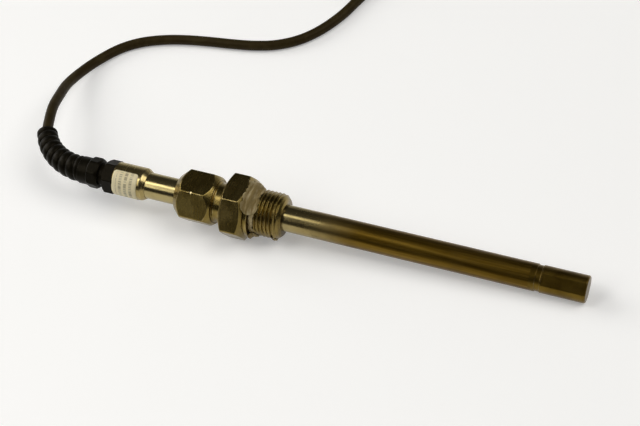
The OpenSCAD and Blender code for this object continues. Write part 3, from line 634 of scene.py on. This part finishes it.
class Finish:
    """A material with one Principled shader. Constants are set on the shader's own sockets."""

    def __init__(self, name, **constants):
        self.material = bpy.data.materials.new(name)
        self.material.use_nodes = True
        self.tree = self.material.node_tree
        self.shader = self.tree.nodes["Principled BSDF"]
        for key, value in constants.items():
            self.socket(key).default_value = value

    def socket(self, key):
        """The shader's socket for a name such as base_color or specular_ior_level."""
        return self.shader.inputs[key.replace("_", " ").title().replace("Ior", "IOR")]

    def node(self, kind, settings=None, inputs=None, output=0):
        """Any node: its settings first, then the values or links of its inputs."""
        node = self.tree.nodes.new(kind)
        for key, value in (settings or {}).items():
            setattr(node, key, value)
        for key, value in (inputs or {}).items():
            if isinstance(value, Signal):
                self.tree.links.new(value.socket, node.inputs[key])
            else:
                node.inputs[key].default_value = value
        return Signal(self, node.outputs[output])

    def place(self):
        """The point on the object in the probe's own measures (u, v, w), but in metres."""
        spot = self.node("ShaderNodeTexCoord", output="Object")
        turned = Matrix.Rotation(-TILT, 3, "Y")
        shift = -(turned @ Matrix.Translation(ZERO.tolist()).translation) / 1000
        return self.node(
            "ShaderNodeMapping", {"vector_type": "POINT"},
            {"Vector": spot, "Rotation": (0, -TILT, 0), "Location": shift},
        )

    def split(self, vector, output):
        """One of a vector's parts: X, Y or Z."""
        return self.node("ShaderNodeSeparateXYZ", None, {"Vector": vector}, output)

    def noise(self, vector, stretch, detail=3.0, roughness=0.5):
        """Cloudy noise; stretch is how many lumps a metre there are along each of three ways."""
        scaled = self.node(
            "ShaderNodeVectorMath", {"operation": "MULTIPLY"}, {0: vector, 1: stretch}
        )
        return self.node(
            "ShaderNodeTexNoise", None,
            {"Vector": scaled, "Scale": 1.0, "Detail": detail, "Roughness": roughness},
        )

    def blend(self, factor, a, b):
        """Colour a where factor is 0, colour b where it is 1."""
        a, b = ((*colour, 1) if isinstance(colour, tuple) else colour for colour in (a, b))
        inputs = {0: factor, MIX_A: a, MIX_B: b}
        return self.node("ShaderNodeMix", {"data_type": "RGBA"}, inputs, MIX_RESULT)

    def bump(self, height, distance):
        """A shading normal from a height; distance is how deep a full step of it is, in metres."""
        return self.node(
            "ShaderNodeBump", None, {"Height": height, "Distance": distance, "Strength": 1.0}
        )

    def feed(self, **inputs):
        """Links signals to the shader's sockets and returns the material."""
        for key, value in inputs.items():
            self.tree.links.new(value.socket, self.socket(key))
        return self.material


def wear(piece, material):
    """Gives a piece its finish."""
    piece.data.materials.clear()
    piece.data.materials.append(material)


# %% [markdown]
# ## The steels
# Nearly all the metal here is stainless steel, and what tells the pieces apart is how each was
# made and used. The tube is drawn, so its scratches run along it, and heat has turned its front
# brown. The nut and the body have marks round the axis and brighter, worn edges. One function
# gives a steel from its colours and its marks, and serves for the tinned wires too.


# %% Steel
GRIME_COLOUR, BARE_COLOUR = (0.06, 0.042, 0.016), (0.72, 0.6, 0.34)
# The nick's colour is partly bare steel and partly a painted glint.
NICK_AT, NICK_BARE_AND_GLINT_COLOUR = (-0.0274, -0.00668, 0.01069), (0.6, 0.5, 0.28)
HEAT_FROM, HEAT_TO = 0.008, 0.055


def steel(
    name, colour_at, roughness, stretch, mark_depth,
    has_edge=False, grime=0.25, spread=0.2, nick=None,
):
    """A worn steel: colour_at(finish, place) gives its colour, stretch the way its marks run.

    roughness is a number or a function like colour_at, has_edge bares the piece's edges, and
    nick is the place of one small dent, painted lighter: partly bare steel, partly a painted glint.
    """
    finish = Finish(name, metallic=1.0)
    place = finish.place()
    marks = finish.noise(place, stretch, detail=4.0, roughness=0.65)
    cloud = finish.noise(place, (90.0, 90.0, 90.0), detail=4.0, roughness=0.6)
    specks = finish.noise(place, (700.0, 700.0, 700.0), detail=2.0).between(0.62, 0.72)
    dirt = cloud.between(0.45, 0.75) * grime + specks * (grime * 0.5)
    colour = finish.blend(dirt, colour_at(finish, place), GRIME_COLOUR)
    if has_edge:
        edge = finish.node("ShaderNodeAttribute", {"attribute_name": "edge"}, output="Fac")
        bare = edge * finish.noise(place, (260.0, 260.0, 260.0)).between(0.46, 0.64, 0.02, 0.18)
        colour = finish.blend(bare, colour, BARE_COLOUR)
    height = marks + cloud * 0.5
    # At the nick: a dent in the bump, and a lighter colour that is partly bare steel and partly a
    # painted glint.
    if nick:
        away = finish.node(
            "ShaderNodeVectorMath", {"operation": "DISTANCE"}, {0: place, 1: nick}, "Value"
        )
        nick_spot = away.between(0.0002, 0.0008, 1.0, 0.0)
        colour, height = finish.blend(nick_spot, colour, NICK_BARE_AND_GLINT_COLOUR), height - nick_spot * 4.0
    if callable(roughness):
        roughness = roughness(finish, place)
    shine = (marks - 0.5) * spread + dirt * 0.3 + roughness
    return finish.feed(
        base_color=colour, roughness=shine, normal=finish.bump(height, mark_depth)
    )


def heated(finish, place):
    """0 behind the fitting and 1 where the heat has turned the tube brown, with a cloudy border."""
    drift = finish.noise(place, (60.0, 120.0, 120.0), detail=2.0) - 0.5
    return (finish.split(place, "X") + drift * 0.02).between(HEAT_FROM, HEAT_TO)


def tube_colour(finish, place):
    """Bright straw near the fitting and streaky brown in front."""
    streak = finish.noise(place, (30.0, 900.0, 900.0), detail=3.0)
    brown = finish.blend(streak.between(0.35, 0.7), (0.10, 0.057, 0.006), (0.175, 0.106, 0.016))
    return finish.blend(heated(finish, place), (0.38, 0.31, 0.14), brown)


def tube_shine(finish, place):
    """Drawn steel is bright, and the heated skin is duller."""
    return heated(finish, place).between(0.0, 1.0, 0.18, 0.36)


def plain_steel(dark, light):
    """A steel of one tone: clouds between two close colours."""

    def colour_at(finish, place):
        cloud = finish.noise(place, (140.0, 140.0, 140.0), detail=3.0)
        return finish.blend(cloud.between(0.35, 0.65), dark, light)

    return colour_at


tube_steel = steel(
    "drawn tube", tube_colour, tube_shine, (25.0, 1500.0, 1500.0), 0.00002, spread=0.12
)
tip_steel = steel(
    "milled tip", plain_steel((0.10, 0.06, 0.008), (0.15, 0.095, 0.015)), 0.32,
    (40.0, 900.0, 900.0), 0.00003, True,
)
nut_steel = steel(
    "milled nut", plain_steel((0.175, 0.124, 0.032), (0.25, 0.185, 0.055)), 0.24,
    (1100.0, 200.0, 200.0), 0.00004, True, nick=NICK_AT,
)
body_steel = steel(
    "milled body", plain_steel((0.165, 0.118, 0.03), (0.26, 0.19, 0.06)), 0.24,
    (1100.0, 200.0, 200.0), 0.00004, True, 0.4,
)
sleeve_steel = steel(
    "turned sleeve", plain_steel((0.32, 0.25, 0.10), (0.40, 0.32, 0.14)), 0.24,
    (1600.0, 60.0, 60.0), 0.00003, True, 0.1,
)
ferrule_steel = steel(
    "turned ring", plain_steel((0.5, 0.46, 0.36), (0.6, 0.56, 0.45)), 0.3,
    (1600.0, 60.0, 60.0), 0.00002,
)
for piece, finish in (
    (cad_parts["probe_tube"], tube_steel), (tip, tip_steel), (nut, nut_steel),
    (body, body_steel), (sleeve, sleeve_steel), (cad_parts["front_ferrule"], ferrule_steel),
    (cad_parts["back_ferrule"], ferrule_steel),
):
    wear(piece, finish)

# %% [markdown]
# ## Plastic, rubber, tape and film
# Black moulded plastic shows soft highlights, a fine grain and clouds of a slightly paler tone.
# The cable's jacket is browner. The label's film carries a few rows of broken dark marks in
# place of words.


# %% Moulded and soft finishes
ROUND_SPOTS, WARM_TINT = (160.0, 160.0, 160.0), (1.0, 0.86, 0.62, 1.0)
ROW_STEP, STROKES, PRINT_REAR, PRINT_FRONT, FADE = 0.0026, 38.0, -0.0660, -0.0576, 0.0002


def moulded(
    name, dark, light, roughness, grain, depth,
    stretch=(1, 1, 1), spots=ROUND_SPOTS, gloss=0.2,
):
    """Two close colours mixed by a cloud, a slightly uneven gloss and a fine grain.

    grain and spots are lumps a metre, stretch draws the grain out and depth is its height.
    """
    finish = Finish(name, specular_ior_level=gloss, specular_tint=WARM_TINT)
    place = finish.place()
    cloud = finish.noise(place, spots, detail=4.0, roughness=0.6)
    fine = finish.noise(place, tuple(grain * s for s in stretch), detail=3.0, roughness=0.6)
    return finish.feed(
        base_color=finish.blend(cloud.between(0.4, 0.7), dark, light),
        roughness=roughness + (fine - 0.5) * 0.2 + cloud.between(0.5, 0.8) * 0.1,
        normal=finish.bump(fine, depth),
    )


def label_finish():
    """Off-white film with three rows of broken marks round it.

    A row is ROW_STEP wide, and each of its STROKES a radian is a mark or a gap.
    """
    finish = Finish("label film", specular_ior_level=0.4)
    place = finish.place()
    along = finish.split(place, "X")
    across = finish.split(place, "Y")
    height = finish.split(place, "Z")
    turn = height.math("ARCTAN2", across)
    cloud = finish.noise(place, (120.0, 120.0, 120.0), detail=4.0)
    row = along * (1 / ROW_STEP)
    in_row = row.math("FRACT").math("PINGPONG", 0.5)
    cell = finish.node("ShaderNodeCombineXYZ", None, {
        "X": (turn * STROKES).math("FLOOR"), "Y": row.math("FLOOR"),
    })
    stroke = finish.node(
        "ShaderNodeTexWhiteNoise", {"noise_dimensions": "2D"}, {"Vector": cell}, "Value"
    )
    marks = in_row.between(0.2, 0.26) * stroke.between(0.42, 0.46)
    inside = (
        along.between(PRINT_REAR, PRINT_REAR + FADE)
        * along.between(PRINT_FRONT, PRINT_FRONT + FADE, 1.0, 0.0)
    )
    paper = finish.blend(cloud.between(0.4, 0.75), (0.84, 0.75, 0.49), (0.70, 0.60, 0.36))
    return finish.feed(
        base_color=finish.blend(marks * inside * 0.55, paper, (0.12, 0.1, 0.06)),
        roughness=0.42 + cloud * 0.15, normal=finish.bump(cloud, 0.00004),
    )


cap_plastic = moulded(
    "cap plastic", (0.003, 0.0025, 0.0012), (0.006, 0.005, 0.0027), 0.38, 2500.0, 0.00002,
    gloss=0.08,
)
gland_plastic = moulded(
    "gland plastic", (0.004, 0.0033, 0.0018), (0.007, 0.0058, 0.0033), 0.4, 2200.0, 0.00002,
    gloss=0.06,
)
jacket_plastic = moulded(
    "cable jacket", (0.024, 0.016, 0.005), (0.036, 0.026, 0.009), 0.45, 1800.0, 0.00003,
    gloss=0.1,
)
rubber = moulded("black rubber", (0.02, 0.02, 0.02), (0.035, 0.033, 0.03), 0.65, 1500.0, 0.00005)
tape_white = moulded(
    "old tape", (0.22, 0.16, 0.062), (0.50, 0.41, 0.235), 0.6, 2400.0, 0.00015,
    stretch=(1, 0.2, 0.2), spots=(650.0, 130.0, 130.0),
)
potting = moulded("cast resin", (0.02, 0.02, 0.022), (0.035, 0.035, 0.04), 0.35, 900.0, 0.00003)
ceramic = moulded("ceramic", (0.72, 0.68, 0.58), (0.8, 0.77, 0.68), 0.6, 2000.0, 0.00003)
core_red = moulded("red core", (0.42, 0.03, 0.02), (0.5, 0.05, 0.03), 0.4, 1500.0, 0.00002)
core_white = moulded("white core", (0.7, 0.69, 0.64), (0.78, 0.77, 0.73), 0.4, 1500.0, 0.00002)
strap_plastic = moulded(
    "strap plastic", (0.02, 0.02, 0.02), (0.03, 0.03, 0.028), 0.4, 1200.0, 0.00003
)
tinned = steel(
    "tinned copper", plain_steel((0.55, 0.54, 0.5), (0.66, 0.65, 0.6)), 0.35,
    (200.0, 200.0, 200.0), 0.00002,
)

wear(cap, cap_plastic)
wear(label, label_finish())
for piece in (tape, *rags):
    wear(piece, tape_white)
wear(jacket, jacket_plastic)
by_node = {
    "gland_body": gland_plastic, "gland_gasket": rubber, "gland_seal": rubber,
    "cable_held": jacket_plastic, "rtd_element": ceramic, "potting_plug": potting,
    "coil_strap": strap_plastic, "end_sleeve": rubber,
}
for i in range(1, 5):
    core = core_red if i % 2 else core_white
    by_node |= {
        f"insulator_{i}": ceramic, f"lead_{i}": tinned, f"splice_{i}": tinned,
        f"core_{i}": core, f"end_core_{i}": core, f"end_ferrule_{i}": tinned,
    }
for node, finish in by_node.items():
    wear(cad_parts[node], finish)
print("finishes:", len(bpy.data.materials))

# %% [markdown]
# ## Floor and light
# The object lies on a wide pale sheet. Metal shows what surrounds it more than its own colour.
# So the room is dim, the sheet gives the round steel its bright lower band, and two small lamps
# stand where the tube shows them as one quiet line. Two large ones light the sheet and the
# plastic from beyond the ends, since a straight tube never shows what stands there. They stand
# far off, and the sheet grows greyer away from the object, so that it is nowhere glaring. To
# the eye and in reflections it also glows a little, which keeps it pale and lights nothing.

# %% Floor
REACH, GREY_FROM, GREY_TO = 4, 0.25, 1.2
GREY, DARK, GLOW = (0.5, 0.5, 0.5), (0.0, 0.0, 0.0), (0.265, 0.265, 0.265)
floor_mesh = bpy.data.meshes.new("floor")
floor_mesh.from_pydata(
    [(x, y, 0) for x, y in ((-REACH, -REACH), (REACH, -REACH), (REACH, REACH), (-REACH, REACH))],
    [], [(0, 1, 2, 3)],
)
floor = bpy.data.objects.new("floor", floor_mesh)
bpy.context.scene.collection.objects.link(floor)
sheet = Finish("pale sheet", roughness=0.9, specular_ior_level=0.0)
sheet_spot = sheet.node("ShaderNodeTexCoord", output="Object")
sheet_cloud = sheet.noise(sheet_spot, (3.0, 3.0, 3.0), detail=2.0)
sheet_away = sheet.node(
    "ShaderNodeVectorMath", {"operation": "LENGTH"}, {0: sheet_spot}, "Value"
)
near_sheet = sheet.blend(sheet_cloud, (0.84, 0.84, 0.84), (0.86, 0.86, 0.86))
seen = [sheet.node("ShaderNodeLightPath", output=key) for key in (
    "Is Camera Ray", "Is Glossy Ray", "Is Transmission Ray",
)]
sheet.socket("emission_strength").default_value = 1.0
wear(floor, sheet.feed(
    base_color=sheet.blend(sheet_away.between(GREY_FROM, GREY_TO), near_sheet, GREY),
    emission_color=sheet.blend(sum(seen), DARK, GLOW),
))

# %% Light
FAR_FROM, FAR_TO = 0.2, 0.8
NEAR_ROOM = [(0.0, 0.08), (0.10, 0.05), (0.35, 0.04), (1.0, 0.08)]
FAR_ROOM = [(0.0, 0.50), (0.20, 0.35), (0.42, 0.05), (1.0, 0.06)]
world = bpy.data.worlds.new("room")
bpy.context.scene.world = world
world.use_nodes = True
nodes, links = world.node_tree.nodes, world.node_tree.links
way = nodes.new("ShaderNodeTexCoord")
parts = nodes.new("ShaderNodeSeparateXYZ")
links.new(way.outputs["Generated"], parts.inputs[0])
far = nodes.new("ShaderNodeMapRange")
far.inputs["From Min"].default_value, far.inputs["From Max"].default_value = FAR_FROM, FAR_TO
links.new(parts.outputs["Y"], far.inputs["Value"])
mixed = nodes.new("ShaderNodeMix")
mixed.data_type = "RGBA"
links.new(far.outputs[0], mixed.inputs[0])
for socket, stops in ((MIX_A, NEAR_ROOM), (MIX_B, FAR_ROOM)):
    ramp = nodes.new("ShaderNodeValToRGB")
    while len(ramp.color_ramp.elements) < len(stops):
        ramp.color_ramp.elements.new(0.5)
    for element, (at, level) in zip(ramp.color_ramp.elements, stops):
        element.position, element.color = at, (level, level * 0.99, level * 0.96, 1)
    links.new(parts.outputs["Z"], ramp.inputs[0])
    links.new(ramp.outputs[0], mixed.inputs[socket])
links.new(mixed.outputs[MIX_RESULT], nodes["Background"].inputs[0])


def soft_lamp(name, way, distance, wide, high, watts):
    """A flat lamp that faces the object from a direction, wide along it and high across it.

    Its distance, width and height are in metres.
    """
    lamp = bpy.data.lights.new(name, "AREA")
    lamp.shape, lamp.size, lamp.size_y, lamp.energy = "RECTANGLE", wide, high, watts
    lamp.color = (1.0, 0.985, 0.95)
    holder = bpy.data.objects.new(name, lamp)
    bpy.context.scene.collection.objects.link(holder)
    out = Vector(way).normalized()
    side = (Vector((1, 0, 0)) - out * out.x).normalized()
    turned = Matrix((side, out.cross(side), out)).transposed().to_4x4()
    holder.matrix_world = Matrix.Translation(out * distance) @ turned


soft_lamp("lamp_tip_side", (0.55, 0.10, 0.83), 3.5, 2.4, 2.4, 50.0)
soft_lamp("lamp_cable_side", (-0.88, 0.10, 0.47), 3.5, 2.4, 2.4, 62.0)
soft_lamp("lamp_behind", (-0.53, -0.46, 0.71), 1.2, 0.4, 0.8, 2.8)
soft_lamp("lamp_above", (-0.34, -0.25, 0.91), 1.2, 0.35, 0.35, 1.1)
bpy.context.scene.view_settings.view_transform = "Standard"

# %% [markdown]
# ## The last step
# The view layer is brought up to date.

# %% Finish
bpy.context.view_layer.update()
